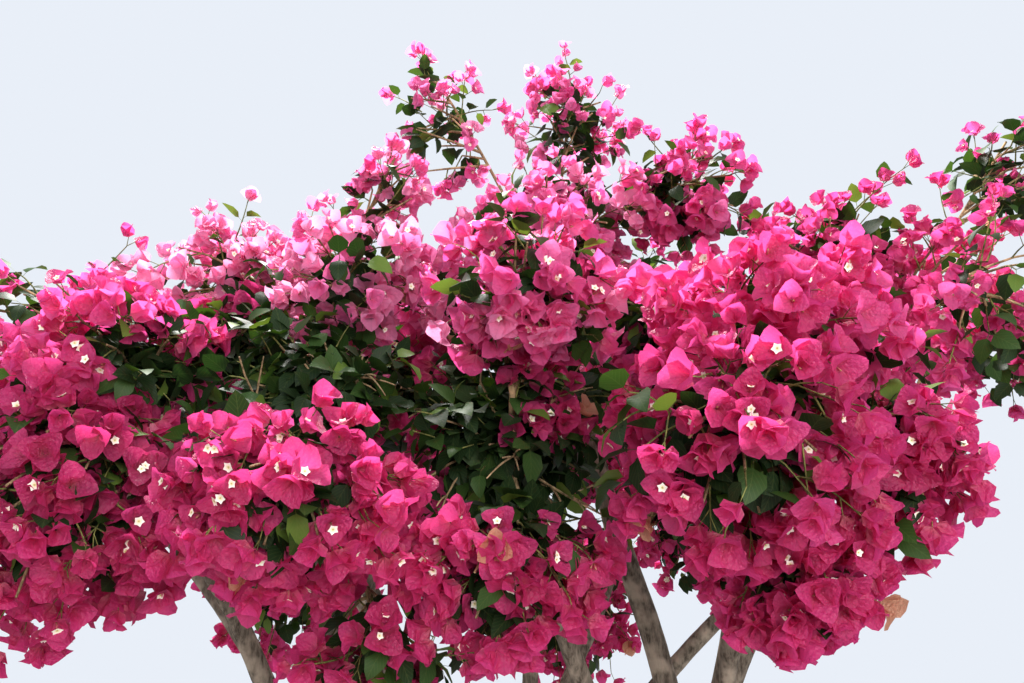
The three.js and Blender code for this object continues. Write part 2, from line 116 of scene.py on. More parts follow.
# Each mass: its name, its bough, the middle and half widths of its space, its habit, the share of its tips
# that bloom, its tone from 0 for deep magenta to 1 for pale pink, and how full it is. The tone is partly
# painted light: low, inner and shaded masses get deep tints as painted shade, the sunlit crest pale ones.
massRows = [
    ("left_low", "left", (-588, -565, 1770), (200, 172, 236), "weep", 1.0, 0.05, 1.0),
    ("left_mid", "left", (-575, -500, 1995), (170, 168, 140), "mound", 0.85, 0.5, 0.9),
    ("left_high", "left", (-795, -340, 2112), (172, 165, 140), "mound", 0.75, 0.6, 0.55),
    ("left_crest", "left_crest", (-560, -215, 2235), (215, 182, 152), "mound", 0.82, 1.0, 0.5),
    ("mid_crest", "left_crest", (-275, -340, 2190), (190, 178, 138), "mound", 0.85, 1.0, 0.6),
    ("shoot_left", "left_crest", (-232, -235, 2440), (120, 114, 138), "shoot", 0.95, 0.9, 0.4),
    ("front_left", "front_left", (-292, -615, 1772), (195, 162, 156), "weep", 1.0, 0.25, 1.0),
    ("tail_shoot", "front_left", (-180, -480, 1595), (158, 128, 110), "weep", 0.5, 0.1, 0.3),
    ("dark_left", "front_left", (-315, -410, 1975), (205, 172, 150), "mound", 0.08, 0.5, 1.0),
    ("front_low", "front", (-2, -545, 1680), (170, 148, 142), "weep", 0.94, 0.25, 1.0),
    ("centre_dark", "front", (-15, -325, 1910), (262, 195, 200), "mound", 0.16, 0.25, 1.0),
    ("centre_bloom", "front", (25, -555, 2090), (172, 155, 140), "mound", 0.85, 0.75, 0.85),
    ("right_big", "front_right", (270, -690, 1832), (202, 175, 178), "weep", 1.0, 0.3, 1.0),
    ("right_tail", "front_right", (350, -600, 1672), (132, 128, 125), "weep", 0.9, 0.2, 0.9),
    ("right_upper", "front_right", (350, -610, 1998), (215, 178, 136), "mound", 0.98, 0.5, 1.0),
    ("right_side", "front_right", (518, -555, 1842), (126, 145, 168), "weep", 0.9, 0.2, 0.8),
    ("crown_mid", "top", (80, -280, 2330), (220, 188, 158), "mound", 0.88, 0.85, 0.7),
    ("top_shoot", "top", (-168, -98, 2685), (140, 122, 230), "shoot", 0.85, 0.8, 0.3),
    ("top_spray", "top", (132, -125, 2645), (150, 135, 190), "shoot", 0.9, 0.8, 0.6),
    ("right_top", "top", (342, -300, 2388), (155, 150, 148), "mound", 0.82, 0.6, 0.68),
    ("right_crest", "right_crest", (602, -200, 2322), (212, 178, 128), "mound", 0.88, 0.42, 0.68),
    ("right_edge", "right_crest", (838, -300, 2192), (215, 190, 208), "mound", 0.9, 0.45, 0.25),
    ("edge_shoot", "right_crest", (1060, -130, 2545), (172, 125, 142), "shoot", 0.4, 0.5, 0.45),
    ("far_left", "far_left", (-940, -110, 1975), (235, 240, 220), "weep", 0.8, 0.3, 0.8),
    ("left_back", "far_left", (-740, 260, 2070), (275, 260, 240), "mound", 0.8, 0.5, 0.8),
    ("back_left_low", "back_left", (-560, 540, 1760), (260, 220, 255), "weep", 0.85, 0.2, 0.8),
    ("back_mid", "back_left", (-215, 590, 1960), (280, 245, 240), "mound", 0.8, 0.5, 0.8),
    ("back_low", "back", (150, 680, 1680), (250, 210, 240), "weep", 0.9, 0.2, 0.8),
    ("back_centre", "back", (150, 420, 2110), (260, 240, 220), "mound", 0.7, 0.5, 0.8),
    ("back_right", "back", (530, 540, 1900), (285, 245, 260), "weep", 0.85, 0.3, 0.8),
    ("back_left_top", "back_top", (-270, 170, 2310), (260, 235, 200), "mound", 0.8, 0.7, 0.8),
    ("back_right_top", "back_top", (320, 190, 2320), (265, 240, 205), "mound", 0.8, 0.7, 0.8),
    ("right_back", "far_right", (742, 285, 2125), (305, 255, 230), "mound", 0.8, 0.5, 0.85),
    ("far_right", "far_right", (1075, 10, 2215), (215, 215, 190), "weep", 0.75, 0.4, 0.5),
    ("heart_left", "left_crest", (-500, 60, 2060), (205, 225, 185), "inner", 0.2, 0.15, 0.8),
    ("heart_mid", "back_top", (50, 20, 2070), (205, 180, 190), "inner", 0.12, 0.15, 0.8),
    ("heart_right", "right_crest", (365, -70, 2120), (185, 165, 165), "inner", 0.15, 0.15, 0.8),
    ("heart_far_right", "far_right", (680, 0, 2070), (215, 165, 175), "inner", 0.25, 0.15, 0.8),
    ("heart_front_left", "left_crest", (-215, -120, 2030), (185, 175, 175), "inner", 0.25, 0.15, 0.8),
    ("heart_front_right", "front_right", (570, -310, 2030), (185, 165, 170), "inner", 0.4, 0.15, 0.8),
    ("heart_crest_left", "left", (-465, -325, 2060), (155, 150, 125), "inner", 0.15, 0.3, 0.8),
    ("heart_centre_right", "top", (285, -325, 2090), (165, 150, 140), "inner", 0.4, 0.5, 0.8),
    ("heart_crest_mid", "back_top", (-125, -130, 2225), (150, 145, 130), "inner", 0.85, 0.8, 0.7),
]
# Masses in shade bloom little and carry extra leaves, whose dark colour is painted shade.
shadyBloom = 0.3  # masses that bloom less than this are the dark leafy ones
massNodes = ["foliage_" + row[0] for row in massRows]
massPlaces, massSizes = (np.array([row[part] for row in massRows], float) for part in (2, 3))


def seededDraws(seed):
    # Numbers from 0 to 1 that are the same each run for one seed.
    full = 0xFFFFFFFF
    stride = 0x6D2B79F5
    state = seed & full

    def draw():
        nonlocal state
        state = (state + stride) & full
        mixed = ((state ^ (state >> 15)) * (state | 1)) & full
        mixed ^= (mixed + (((mixed ^ (mixed >> 7)) * (mixed | 61)) & full)) & full
        return (mixed ^ (mixed >> 14)) / (full + 1)

    return draw


def blendOf(low, high, share):
    return low + (high - low) * share


def spreadAbout(middle, width, draw):
    # A draw about a middle value, most often close to it.
    return middle + (draw() + draw() - 1) * width


def held(value):
    return min(max(value, 0), 1)


class Line:
    # A run of points that can be read by its share of the length.
    nearby = 0.02

    def __init__(self, points):
        self.points = points
        gaps = [(b - a).length for a, b in zip(points, points[1:])]
        self.marks = np.concatenate([[0], np.cumsum(gaps)])
        self.length = float(self.marks[-1])

    def at(self, share):
        target = held(share) * self.length
        step = min(int(np.searchsorted(self.marks, target, side="right")) - 1, len(self.points) - 2)
        span = self.marks[step + 1] - self.marks[step]
        part = (target - self.marks[step]) / span if span else 0
        return self.points[step].lerp(self.points[step + 1], float(part))

    def heading(self, share):
        return (self.at(share + self.nearby) - self.at(share - self.nearby)).normalized()


def bowed(start, elbow, end, steps):
    # A quadratic curve as a line of points.
    shares = [i / steps for i in range(steps + 1)]
    return Line([start * (1 - t) ** 2 + elbow * 2 * t * (1 - t) + end * t ** 2 for t in shares])


limbSetup = {"steps": 60, "straighten": 0.8, "firstReach": 0.38, "lastReach": 0.33, "sways": (5, 6)}


def limbLine(start, along, tip, rise, crook, seed, upright=False):
    # A limb leaves along its parent, bends over to its tip and wanders a little on the way.
    setup = limbSetup
    reach = (tip - start).length
    outward = Vector((tip.x - start.x, tip.y - start.y, 0)).normalized()
    ending = (outward * (1 - rise) + up * rise).normalized()
    leaving = (along + (tip - start).normalized() * setup["straighten"]).normalized()
    first = start + leaving * setup["firstReach"] * reach
    if upright:
        first = Vector((0, 0, first.z))
    last = tip - ending * setup["lastReach"] * reach
    draw = seededDraws(seed)
    phases = [draw() * fullTurn, draw() * fullTurn]
    points = []
    for i in range(setup["steps"] + 1):
        t = i / setup["steps"]
        point = start * (1 - t) ** 3 + first * 3 * t * (1 - t) ** 2
        point = point + last * 3 * t * t * (1 - t) + tip * t ** 3
        sway = crook * math.sin(math.pi * t) ** 2
        point.x += sway * math.sin(setup["sways"][0] * t + phases[0])
        point.y += sway * math.sin(setup["sways"][1] * t + phases[1])
        points.append(point)
    return Line(points)


def layOutLimbs():
    tip = Vector(trunkRow["tip"])
    lines = {"trunk": limbLine(Vector(), up, tip, trunkRow["rise"], trunkRow["crook"], seeds["trunk"], True)}
    for order, (name, parent, place, tip, _, rise, crook) in enumerate(limbRows):
        below = lines[parent]
        seed = seeds["limbs"] + order
        lines[name] = limbLine(below.at(place), below.heading(place), Vector(tip), rise, crook, seed)
    return lines


limbLines = layOutLimbs()


# Bark: one skin over the trunk and every limb, with furrows that run along the wood.
barkSetup = {
    "ringGap": 8.0, "fewestRings": 8, "trunkSides": 54, "stemSides": 30, "boughSides": 18, "seedStep": 3.7,
    "collar": 0.45, "collarRun": 2.4, "lump": 0.05, "lumpsRound": 0.9, "lumpRun": 0.013,
    "furrow": 0.055, "furrowsRound": 5.5, "furrowRun": 0.011, "coarseRun": 1.6, "fineRound": 2.3,
    "fineRun": 5, "cut": 1.6, "ridge": 0.35,
}


def barkRadius(base, share, angle, length, isTrunk, seed):
    # The radius at one place: taper, the flare or collar at the foot, lumps and furrows.
    setup = barkSetup
    along = share * length
    radius = blendOf(base[0], base[1], share)
    if isTrunk:
        row = trunkRow
        foot = math.exp(-((share / row["flareHeight"]) ** row["flarePower"]))
        ridges = 1 + row["ridgeDepth"] * math.cos(row["rootRidges"] * angle + row["ridgeTurn"])
        radius *= 1 + row["flare"] * foot * ridges
    else:
        radius *= 1 + setup["collar"] * math.exp(-along / (setup["collarRun"] * base[0]))
    turn = Vector((math.cos(angle), math.sin(angle), 0))
    grain, run = turn * setup["furrowsRound"], along * setup["furrowRun"]
    lump = noise.noise(turn * setup["lumpsRound"] + Vector((seed, 0, along * setup["lumpRun"])))
    furrow = noise.noise(grain + Vector((0, seed, run * setup["coarseRun"])))
    fine = noise.noise(grain * setup["fineRound"] + Vector((seed, seed, run * setup["fineRun"])))
    groove = -abs(furrow) * setup["cut"] + setup["ridge"] + setup["ridge"] * fine
    return radius * (1 + setup["lump"] * lump + setup["furrow"] * groove)


def wallFaces(rings, sides):
    # The faces between rings of points that follow each other.
    return [(low + side, low + (side + 1) % sides, low + sides + (side + 1) % sides, low + sides + side)
            for low in range(0, (rings - 1) * sides, sides) for side in range(sides)]


def barkTube(line, base, sides, isTrunk, seed):
    # A closed tube of rings that stay square to the line and don't twist.
    steps = max(barkSetup["fewestRings"], round(line.length / barkSetup["ringGap"]))
    across = Vector((1, 0, 0))
    points = []
    for step in range(steps + 1):
        share = step / steps
        heading = up if isTrunk and step == 0 else line.heading(share)
        across = (across - heading * across.dot(heading)).normalized()
        aside = heading.cross(across)
        centre = line.at(share)
        for side in range(sides):
            angle = fullTurn * side / sides
            spoke = across * math.cos(angle) + aside * math.sin(angle)
            radius = barkRadius(base, share, angle, line.length, isTrunk, seed)
            points.append((centre + spoke * radius) * mm)
    if isTrunk:
        for point in points[:sides]:
            point.z = 0
    order = list(range(len(points)))
    return points, [*wallFaces(steps + 1, sides), order[:sides][::-1], order[-sides:]]


def makeBark():
    tubes = []
    rows = [("trunk", trunkRow["radii"])] + [(row[0], row[4]) for row in limbRows]
    for order, (name, base) in enumerate(rows):
        isTrunk = name == "trunk"
        kind = "trunkSides" if isTrunk else "stemSides" if name.startswith("stem") else "boughSides"
        tube = barkTube(limbLines[name], base, barkSetup[kind], isTrunk, barkSetup["seedStep"] * order)
        tubes.append(addObject("bark_" + name, meshOf("bark_" + name, *tube)))
    others = bpy.data.collections.new("limbs")
    for tube in tubes[1:]:
        others.objects.link(tube)
    union = tubes[0].modifiers.new("union", "BOOLEAN")
    union.operation = "UNION"
    union.solver = "MANIFOLD"
    union.operand_type = "COLLECTION"
    union.collection = others
    joined = plainMesh(tubes[0])
    for tube in tubes:
        bpy.data.objects.remove(tube)
    bpy.data.collections.remove(others)
    joined.shade_smooth()
    return addObject("bark", joined)


bark = makeBark()
print("bark:", len(bark.data.polygons), "faces")

# Habits: where the heart of a mass sits, how its stem gets there, how low on it boughlets start, whether the
# first one points down or up, how twigs lift and hang, and the most florets of a spray.
usual = {"heart": 0.0, "leaving": 0.42, "elbow": 0.0, "inwardBow": 0.0, "lowest": 0.35, "firstWay": -1}
habits = {
    "weep": {**usual, "heart": 0.05, "inwardBow": 0.4, "lift": 0.32, "droop": -0.6, "mostFlorets": 9},
    "mound": {**usual, "inwardBow": 0.45, "lift": 0.2, "droop": 0.05, "mostFlorets": 7},
    "shoot": {**usual, "heart": 0.45, "leaving": 0.12, "elbow": 0.45, "lowest": 0.55, "firstWay": 1,
              "lift": 0.02, "droop": 0.3, "mostFlorets": 4},
    "inner": {**usual, "leaving": 0.3, "lift": 0.1, "droop": 0.1, "mostFlorets": 6},
}
neighbourReach = 1.2  # masses further apart than this many half widths of both don't meet


class Mass:
    # A mass of foliage, which keeps to a rounded space that is cut flat where it meets its neighbours.
    def __init__(self, order, row):
        self.name, bough, place, size, habit, self.bloom, self.tone, self.fullness = row
        self.bough = limbLines["bough_" + bough]
        self.at = np.array(place, float)
        self.size = np.array(size, float)
        self.girth = float(self.size.mean())
        self.habit = habits[habit]
        self.isShady = self.bloom < shadyBloom
        self.draw = seededDraws(seeds["masses"] + order)
        self.lobeSeed = Vector((order * 3.1, order * 1.7, 0.5))

    def findBorders(self, others):
        normals, offsets = [], []
        for other in others:
            across = other.at - self.at
            gap = float(np.linalg.norm(across))
            if 0 < gap < neighbourReach * (self.size.max() + other.size.max()):
                half = (gap * gap + self.girth ** 2 - other.girth ** 2) / (2 * gap)
                normals.append(across / gap)
                offsets.append(float(normals[-1] @ self.at) + half)
        self.normals = np.array(normals)
        self.offsets = np.array(offsets)

    def room(self, place, way):
        # How far it is to the edge of the space, and whether that edge is the open side of the crown.
        place, way = np.array(place), np.array(way)
        inner, step = (place - self.at) / self.size, way / self.size
        a, b, c = step @ step, inner @ step, inner @ inner - 1
        if c >= 0:
            return 0.0, True
        edge = (-b + math.sqrt(b * b - a * c)) / a
        toward = self.normals @ way
        left = self.offsets - self.normals @ place
        ahead = toward > 1e-6
        wall = float((left[ahead] / toward[ahead]).min()) if ahead.any() else math.inf
        return (float(edge), True) if edge < wall else (max(wall, 0.0), False)


# Places in the crown that stay leafy: the middle and half widths of each.
leafyRows = [
    ((50, -640, 1830), (125, 210, 100)), ((-320, -560, 1962), (230, 230, 80)),
    ((-695, -500, 1925), (80, 170, 60)), ((207, -400, 2235), (62, 200, 95)),
    ((-440, -600, 1850), (50, 150, 70)),
]
leafyPlaces, leafySizes = (np.array([row[part] for row in leafyRows], float) for part in (0, 1))
# Lone florets that stand clear of the crown, by the mass that carries them: where they are and how many.
loneRows = {
    "left_high": [((-678, -340, 2256), 2)],
    "left_crest": [((-521, -215, 2410), 2), ((-595, -215, 2380), 2)],
    "mid_crest": [((-345, -240, 2387), 2), ((-382, -250, 2362), 2)],
    "top_shoot": [((-262, -98, 2748), 2), ((-113, -98, 2801), 3),
                  ((-45, -98, 2713), 3), ((-205, -98, 2846), 2)],
    "top_spray": [((58, -125, 2775), 3), ((120, -125, 2832), 4)],
    "right_top": [((273, -200, 2584), 3)],
    "right_crest": [((712, -250, 2425), 4), ((763, -250, 2468), 3)],
    "right_edge": [((827, -250, 2421), 3), ((870, -330, 2330), 4)],
    "edge_shoot": [((905, -180, 2440), 3), ((975, -170, 2405), 3)],
    "tail_shoot": [((-164, -560, 1614), 5), ((-254, -560, 1575), 4), ((-52, -560, 1588), 4)],
}


def offsetsFrom(place, places, sizes):
    # How far a place is from the middle of each space, in half widths of that space.
    return np.linalg.norm((np.array(place) - places) / sizes, axis=1)


def depthOf(place):
    # How far inside the crown a place is, by the mass that covers it best.
    return float(((1 - offsetsFrom(place, massPlaces, massSizes)) * massSizes.mean(axis=1)).max())


def isLeafy(place):
    return bool((offsetsFrom(place, leafyPlaces, leafySizes) < 1).any())


def spreadDirections(count, turn, firstWay):
    # Directions spread evenly over a ball, from the bottom up or from the top down.
    steepest = 0.97
    found = []
    for i in range(count):
        height = firstWay * (1 - 2 * i / max(count - 1, 1)) * steepest
        around = math.sqrt(1 - height * height)
        angle = turn + i * goldenAngle
        found.append(Vector((around * math.cos(angle), around * math.sin(angle), height)))
    return found


def sideOf(way, angle):
    # A direction square to "way", turned round it.
    across = way.cross(up if abs(way.z) < 0.9 else Vector((1, 0, 0))).normalized()
    return Quaternion(way, angle) @ across


def offLine(line, share, angle, forward):
    # A direction that leaves a line sideways at one place, and forward by a share.
    heading = line.heading(share)
    return sideOf(heading, angle) + heading * forward


def facing(forward, face):
    # The turn that sends Y along "forward" and Z as near to "face" as it goes.
    side = forward.cross(face)
    if side.length < 1e-4:
        side = sideOf(forward, 0)
    side.normalize()
    return Matrix((side, forward, side.cross(forward))).transposed().to_quaternion()


def alongAxis(axis, spin):
    # The turn that sends Z along "axis", then spins round it.
    return axis.to_track_quat("Z", "Y") @ Quaternion(up, spin)


grown = {"wood": [], "green": [], "stalk": [], "floret": [], "leaf": [], "flower": []}
# Bracts from deep to pale, then the faded ones: their colour, their glow against the light and its share.
# The steps from deep to pale are the bracts' own colour and also painted shade and painted light; faded is
# dried bract.
tints = {
    "deep": ((0.50, 0.032, 0.14), (0.80, 0.05, 0.23), 0.48),
    "magenta": ((0.60, 0.042, 0.18), (0.90, 0.07, 0.30), 0.5),
    "cerise": ((0.66, 0.052, 0.21), (0.95, 0.09, 0.36), 0.5),
    "bright": ((0.72, 0.068, 0.245), (0.98, 0.115, 0.42), 0.5),
    "pink": ((0.79, 0.098, 0.31), (1.0, 0.16, 0.49), 0.54),
    "rose": ((0.87, 0.165, 0.42), (1.0, 0.26, 0.56), 0.56),
    "pale": ((0.93, 0.27, 0.51), (1.0, 0.40, 0.64), 0.56),
    "faded": ((0.66, 0.34, 0.22), (0.82, 0.44, 0.28), 0.5),
}
fadedTint = len(tints) - 1
palestTint = fadedTint - 1


def addWood(line, thick, thin):
    last = len(line.points) - 1
    grown["wood"].append([(point, blendOf(thick, thin, i / last)) for i, point in enumerate(line.points)])


floretSetup = {
    "size": (29.0, 40.0), "youngHeight": (2080.0, 2480.0), "youngSize": 0.76, "tooClosed": 0.3,
    "flowerShare": 0.36, "flowerLean": (12, 26), "flowerSize": (0.85, 1.15),
}


def growFloret(place, axis, tint, draw):
    # Three bracts round an axis, smaller high up, with up to three flowers or buds between them.
    setup = floretSetup
    low, high = setup["youngHeight"]
    young = blendOf(1, setup["youngSize"], held((place.z - low) / (high - low)))
    size = blendOf(*setup["size"], draw()) * young
    kind = int(draw() * bractSetup["kinds"])
    turn = alongAxis(axis, draw() * fullTurn)
    grown["floret"].append((place, turn, size, kind, tint))
    if kind / (bractSetup["kinds"] - 1) < setup["tooClosed"]:
        return
    for order in range(3):
        if draw() > setup["flowerShare"]:
            continue
        lean = Quaternion((0, 1, 0), math.radians(blendOf(*setup["flowerLean"], draw())))
        lean = Quaternion(up, order * fullTurn / 3) @ lean
        isBud = draw() >= flowerSetup["openShare"]
        scale = blendOf(*setup["flowerSize"], draw()) * young
        grown["flower"].append((place, turn @ lean, scale, int(isBud), 0))


# Leaves: their colour and their glow. The near-black dark one is painted shade for leaves inside the crown;
# fresh is paler green that is partly painted light on the outer leaves.
shades = {
    "dark": ((0.012, 0.028, 0.009), (0.03, 0.08, 0.010)),
    "mid": ((0.030, 0.068, 0.015), (0.09, 0.20, 0.016)),
    "fresh": ((0.10, 0.17, 0.028), (0.26, 0.40, 0.04)),
}
# Shares of fresh and mid leaves: fewer in shade and almost none inside, so inner leaves are dark as painted
# shade.
foliageSetup = {"size": (38.0, 62.0), "fresh": 0.08, "freshInShade": 0.02, "mid": 0.36, "midInside": 0.05}


def growLeaf(place, way, face, scale, draw, fresh):
    # One leaf: dark, mid green or fresh and lit. With no fresh ones, as deep inside, nearly all are dark, as
    # painted shade.
    setup = foliageSetup
    size = blendOf(*setup["size"], draw()) * scale
    kind = int(draw() * leafSetup["kinds"])
    pick = draw()
    mid = setup["mid"] if fresh else setup["midInside"]
    shade = 2 if pick < fresh else 1 if pick < fresh + mid else 0
    grown["leaf"].append((place, facing(way.normalized(), face.normalized()), size, kind, shade))


def growInnerLeaves(mass, line, count, face, setup):
    # Leaves all round a piece of wood inside the mass, nearly all dark as painted shade of the crown's
    # inside.
    for leaf in range(round(count)):
        share = blendOf(*setup["leafPlace"], mass.draw())
        aim = offLine(line, share, leaf * goldenAngle, setup["leafForward"])
        growLeaf(line.at(share), aim, face, setup["leafScale"], mass.draw, 0)


spraySetup = {
    "gap": 15.0, "dense": 0.75, "atTip": 2, "run": 0.72, "tipLean": (12, 45), "sideLean": (42, 88),
    "outward": 0.3, "droop": 0.5, "stalk": (9.0, 24.0), "stalkRadii": (0.9, 0.7), "tilt": 0.75,
    "tintSpread": (1.1, 1.0), "faded": 0.004,
}


def growSpray(mass, line, most, outward):
    # Florets on thin stalks along the outer part of a twig, and a few at its tip.
    setup, draw, atTip = spraySetup, mass.draw, spraySetup["atTip"]
    count = min(max(2, round(setup["dense"] * line.length / setup["gap"])) + atTip, most)
    # The mass's tone paints shade and light: deep bracts on low and inner masses, pale ones on the crest.
    sprayTint = spreadAbout(palestTint * mass.tone, setup["tintSpread"][0], draw)
    turn = draw() * fullTurn
    for order in range(count):
        isTip = order < atTip
        share = 1 if isTip else 1 - setup["run"] * (order - 1) / count
        place, heading = line.at(share), line.heading(share)
        lean = math.radians(blendOf(*setup["tipLean" if isTip else "sideLean"], draw()))
        aim = heading * math.cos(lean) + sideOf(heading, turn + order * goldenAngle) * math.sin(lean)
        aim = (aim + outward * setup["outward"] + up * setup["droop"] * mass.habit["droop"]).normalized()
        end = place + aim * blendOf(*setup["stalk"], draw())
        grown["stalk"].append(list(zip((place, end), setup["stalkRadii"])))
        axis = (aim + sideOf(aim, draw() * fullTurn) * setup["tilt"] * draw()).normalized()
        tint = min(max(round(spreadAbout(sprayTint, setup["tintSpread"][1], draw)), 0), palestTint)
        growFloret(end, axis, fadedTint if draw() < setup["faded"] else tint, draw)


# Twigs: "blooming" and "leafy" give the share of the usual leaves, their start, their run and their size.
twigSetup = {
    "length": (45.0, 130.0), "shortest": 14, "radii": (1.9, 1.6, 1.3, 1.0), "bend": 0.6, "openRoom": 59.0,
    "walledRoom": 30.0, "recess": 0.38, "lobes": 2.1, "lobeDepth": 1.2, "ahead": 30, "runners": 0.19,
    "runnerLength": (120.0, 230.0), "runnerFlorets": 3, "bloomDepth": (92.0, 148.0), "leafyBloom": 0.12,
    "leafGap": 26.0, "blooming": (0.3, 0.2, 0.4, 0.8), "leafy": (1, 0.3, 0.7, 0.92), "forward": 0.5,
    "hang": 0.12, "tipSpread": 0.7, "tipLeaf": 0.9,
}


def growTwig(mass, root, way):
    # One twig with leaves along it that ends in a spray of blossom or in leaves.
    setup, draw = twigSetup, mass.draw
    room, isOpen = mass.room(root, way)
    outward = Vector((np.array(root + way * setup["ahead"]) - mass.at) / mass.girth).normalized()
    lobe = held(0.5 + setup["lobeDepth"] * noise.noise(outward * setup["lobes"] + mass.lobeSeed))
    spare = setup["openRoom"] if isOpen else setup["walledRoom"]
    isRunner = isOpen and draw() < setup["runners"]
    longest = blendOf(*setup["length"], draw())
    if isRunner:
        longest = blendOf(*setup["runnerLength"], draw())
    elif isOpen:
        spare += setup["recess"] * mass.girth * lobe
    reach = min(longest, room - spare)
    if reach < setup["shortest"]:
        return
    end = root + way * reach
    line = bowed(root, root.lerp(end, 0.5) + up * mass.habit["lift"] * setup["bend"] * reach, end, 3)
    grown["green"].append(list(zip(line.points, setup["radii"])))
    shallow, deep = setup["bloomDepth"]
    blooms = draw() < mass.bloom * held((deep - depthOf(end)) / (deep - shallow))
    if blooms and isLeafy(end):
        blooms = draw() < setup["leafyBloom"]
    usual, first, run, scale = setup["blooming" if blooms else "leafy"]
    leaves = int(reach / setup["leafGap"] * usual + draw())
    turn = draw() * fullTurn
    # Fewer fresh, lit leaves in shady masses: painted shade.
    fresh = foliageSetup["freshInShade" if mass.isShady else "fresh"]
    for order in range(leaves):
        share = first + run * (order + draw()) / leaves
        aim = offLine(line, share, turn + order * goldenAngle, setup["forward"]) - up * setup["hang"]
        growLeaf(line.at(share), aim, up * 0.9 + outward * 0.6, scale, draw, fresh)
    if blooms:
        most = 1 + int(setup["runnerFlorets"] * draw()) if isRunner else mass.habit["mostFlorets"]
        growSpray(mass, line, most, outward)
        return
    # Leaves at a twig's tip are out in the light, so twice as many are fresh and lit: painted light.
    heading = line.heading(1)
    for order in range(2):
        aim = heading + sideOf(heading, turn + order * math.pi) * setup["tipSpread"]
        growLeaf(end, aim, up * 0.8 + outward * 0.8, setup["tipLeaf"], draw, 2 * foliageSetup["fresh"])


bareTwigSetup = {
    "count": 10, "from": (0.5, 1.0), "spare": 25, "least": 30, "bend": (0.55, 0.3), "radii": (2.9, 1.3),
    "forks": 3, "forkPlace": (0.4, 0.85), "forkSpread": 0.8, "forkLength": (30, 90), "forkSpare": 15,
    "forkLeast": 20, "forkLift": 6, "forkRadii": (1.8, 1.0),
}


def growBareTwig(mass, stem, direction):
    # A tan twig without leaves that winds out of a dark mass and forks.
    setup, draw = bareTwigSetup, mass.draw
    start = stem.at(blendOf(*setup["from"], draw()))
    end = start + direction * max(mass.room(start, direction)[0] - setup["spare"], setup["least"])
    side = sideOf(direction, draw() * fullTurn)
    place, bend = setup["bend"]
    line = bowed(start, start.lerp(end, place) + side * bend * (end - start).length, end, 8)
    addWood(line, *setup["radii"])
    for fork in range(setup["forks"]):
        share = blendOf(*setup["forkPlace"], draw())
        root, heading = line.at(share), line.heading(share)
        aim = (heading + sideOf(heading, draw() * fullTurn) * setup["forkSpread"]).normalized()
        reach = min(blendOf(*setup["forkLength"], draw()), mass.room(root, aim)[0] - setup["forkSpare"])
        if reach > setup["forkLeast"]:
            branch = bowed(root, root + aim * reach * 0.5 + up * setup["forkLift"], root + aim * reach, 4)
            addWood(branch, *setup["forkRadii"])


loneSetup = {
    "from": 0.35, "bend": 0.12, "radii": (2.1, 1.8, 1.6, 1.4, 1.2, 1.0), "leaves": 3, "leafPlace": (0.3, 0.9),
    "forward": 0.6, "leafScale": 0.7, "fresh": 0.35, "outward": 0.5,
}


def growLone(mass, root, end, count):
    # A long thin twig from inside a mass to a few florets that stand clear of it.
    setup, draw = loneSetup, mass.draw
    side = sideOf((end - root).normalized(), draw() * fullTurn)
    line = bowed(root, root.lerp(end, 0.5) + side * setup["bend"] * (end - root).length, end, 5)
    grown["green"].append(list(zip(line.points, setup["radii"])))
    turn = draw() * fullTurn
    for leaf in range(setup["leaves"]):
        share = blendOf(*setup["leafPlace"], (leaf + draw()) / setup["leaves"])
        aim = offLine(line, share, turn + leaf * goldenAngle, setup["forward"])
        # Leaves out in the open are more often fresh and lit: painted light.
        growLeaf(line.at(share), aim, up, setup["leafScale"], draw, setup["fresh"])
    growSpray(mass, line, count, line.heading(1) * setup["outward"])


boughletSetup = {
    "highest": 0.98, "reach": 0.9, "endRoom": 62, "least": 0.3, "shortest": 40, "longest": 300,
    "thick": (2.6, 4.2), "thin": 1.6, "leaves": 7, "shadyLeaves": 2.2, "leafPlace": (0.1, 0.85),
    "leafForward": 0.4, "leafScale": 0.95, "twigGap": 44.0, "twigPlace": (0.25, 1.0), "aside": 0.75,
    "asideAtTip": 0.1, "forward": 0.5, "outward": 0.9, "droop": 0.5,
}


def growBoughlet(mass, stem, middle, direction, order):
    # A boughlet from the stem towards one side of the mass, and the twigs along it.
    setup, draw = boughletSetup, mass.draw
    start = stem.at(blendOf(setup["highest"], mass.habit["lowest"], order))
    room = mass.room(middle, direction)[0]
    end = middle + direction * max(setup["reach"] * room - setup["endRoom"], setup["least"] * room)
    lift = mass.habit["lift"] * (end - start).length
    boughlet = bowed(start, start.lerp(end, 0.5) + up * lift, end, 4)
    if boughlet.length < setup["shortest"]:
        return
    addWood(boughlet, blendOf(*setup["thick"], min(boughlet.length / setup["longest"], 1)), setup["thin"])
    # Masses in shade get more of these inner leaves, whose dark colour paints their shade.
    leaves = setup["leaves"] * mass.fullness ** 2 * (setup["shadyLeaves"] if mass.isShady else 1)
    growInnerLeaves(mass, boughlet, leaves, up + direction * 0.5, setup)
    twigs = max(2, round(boughlet.length / setup["twigGap"] * (0.5 + 0.5 * mass.fullness)))
    turn = draw() * fullTurn
    for twig in range(twigs + 1):
        share = blendOf(*setup["twigPlace"], twig / twigs)
        root, heading = boughlet.at(share), boughlet.heading(share)
        outward = (root - middle) / mass.girth
        aside = setup["aside"] if twig < twigs else setup["asideAtTip"]
        aim = sideOf(heading, turn + twig * goldenAngle) * aside + heading * setup["forward"]
        aim = (aim + outward * setup["outward"] + up * mass.habit["droop"] * setup["droop"]).normalized()
        growTwig(mass, root, aim)


massSetup = {
    "footInside": 4, "radii": (4.4, 2.6), "leaves": 14, "leafPlace": (0.15, 1.0), "leafForward": 0.3,
    "leafScale": 1.1, "boughlets": 11, "girthPerBoughlet": 12.5,
}


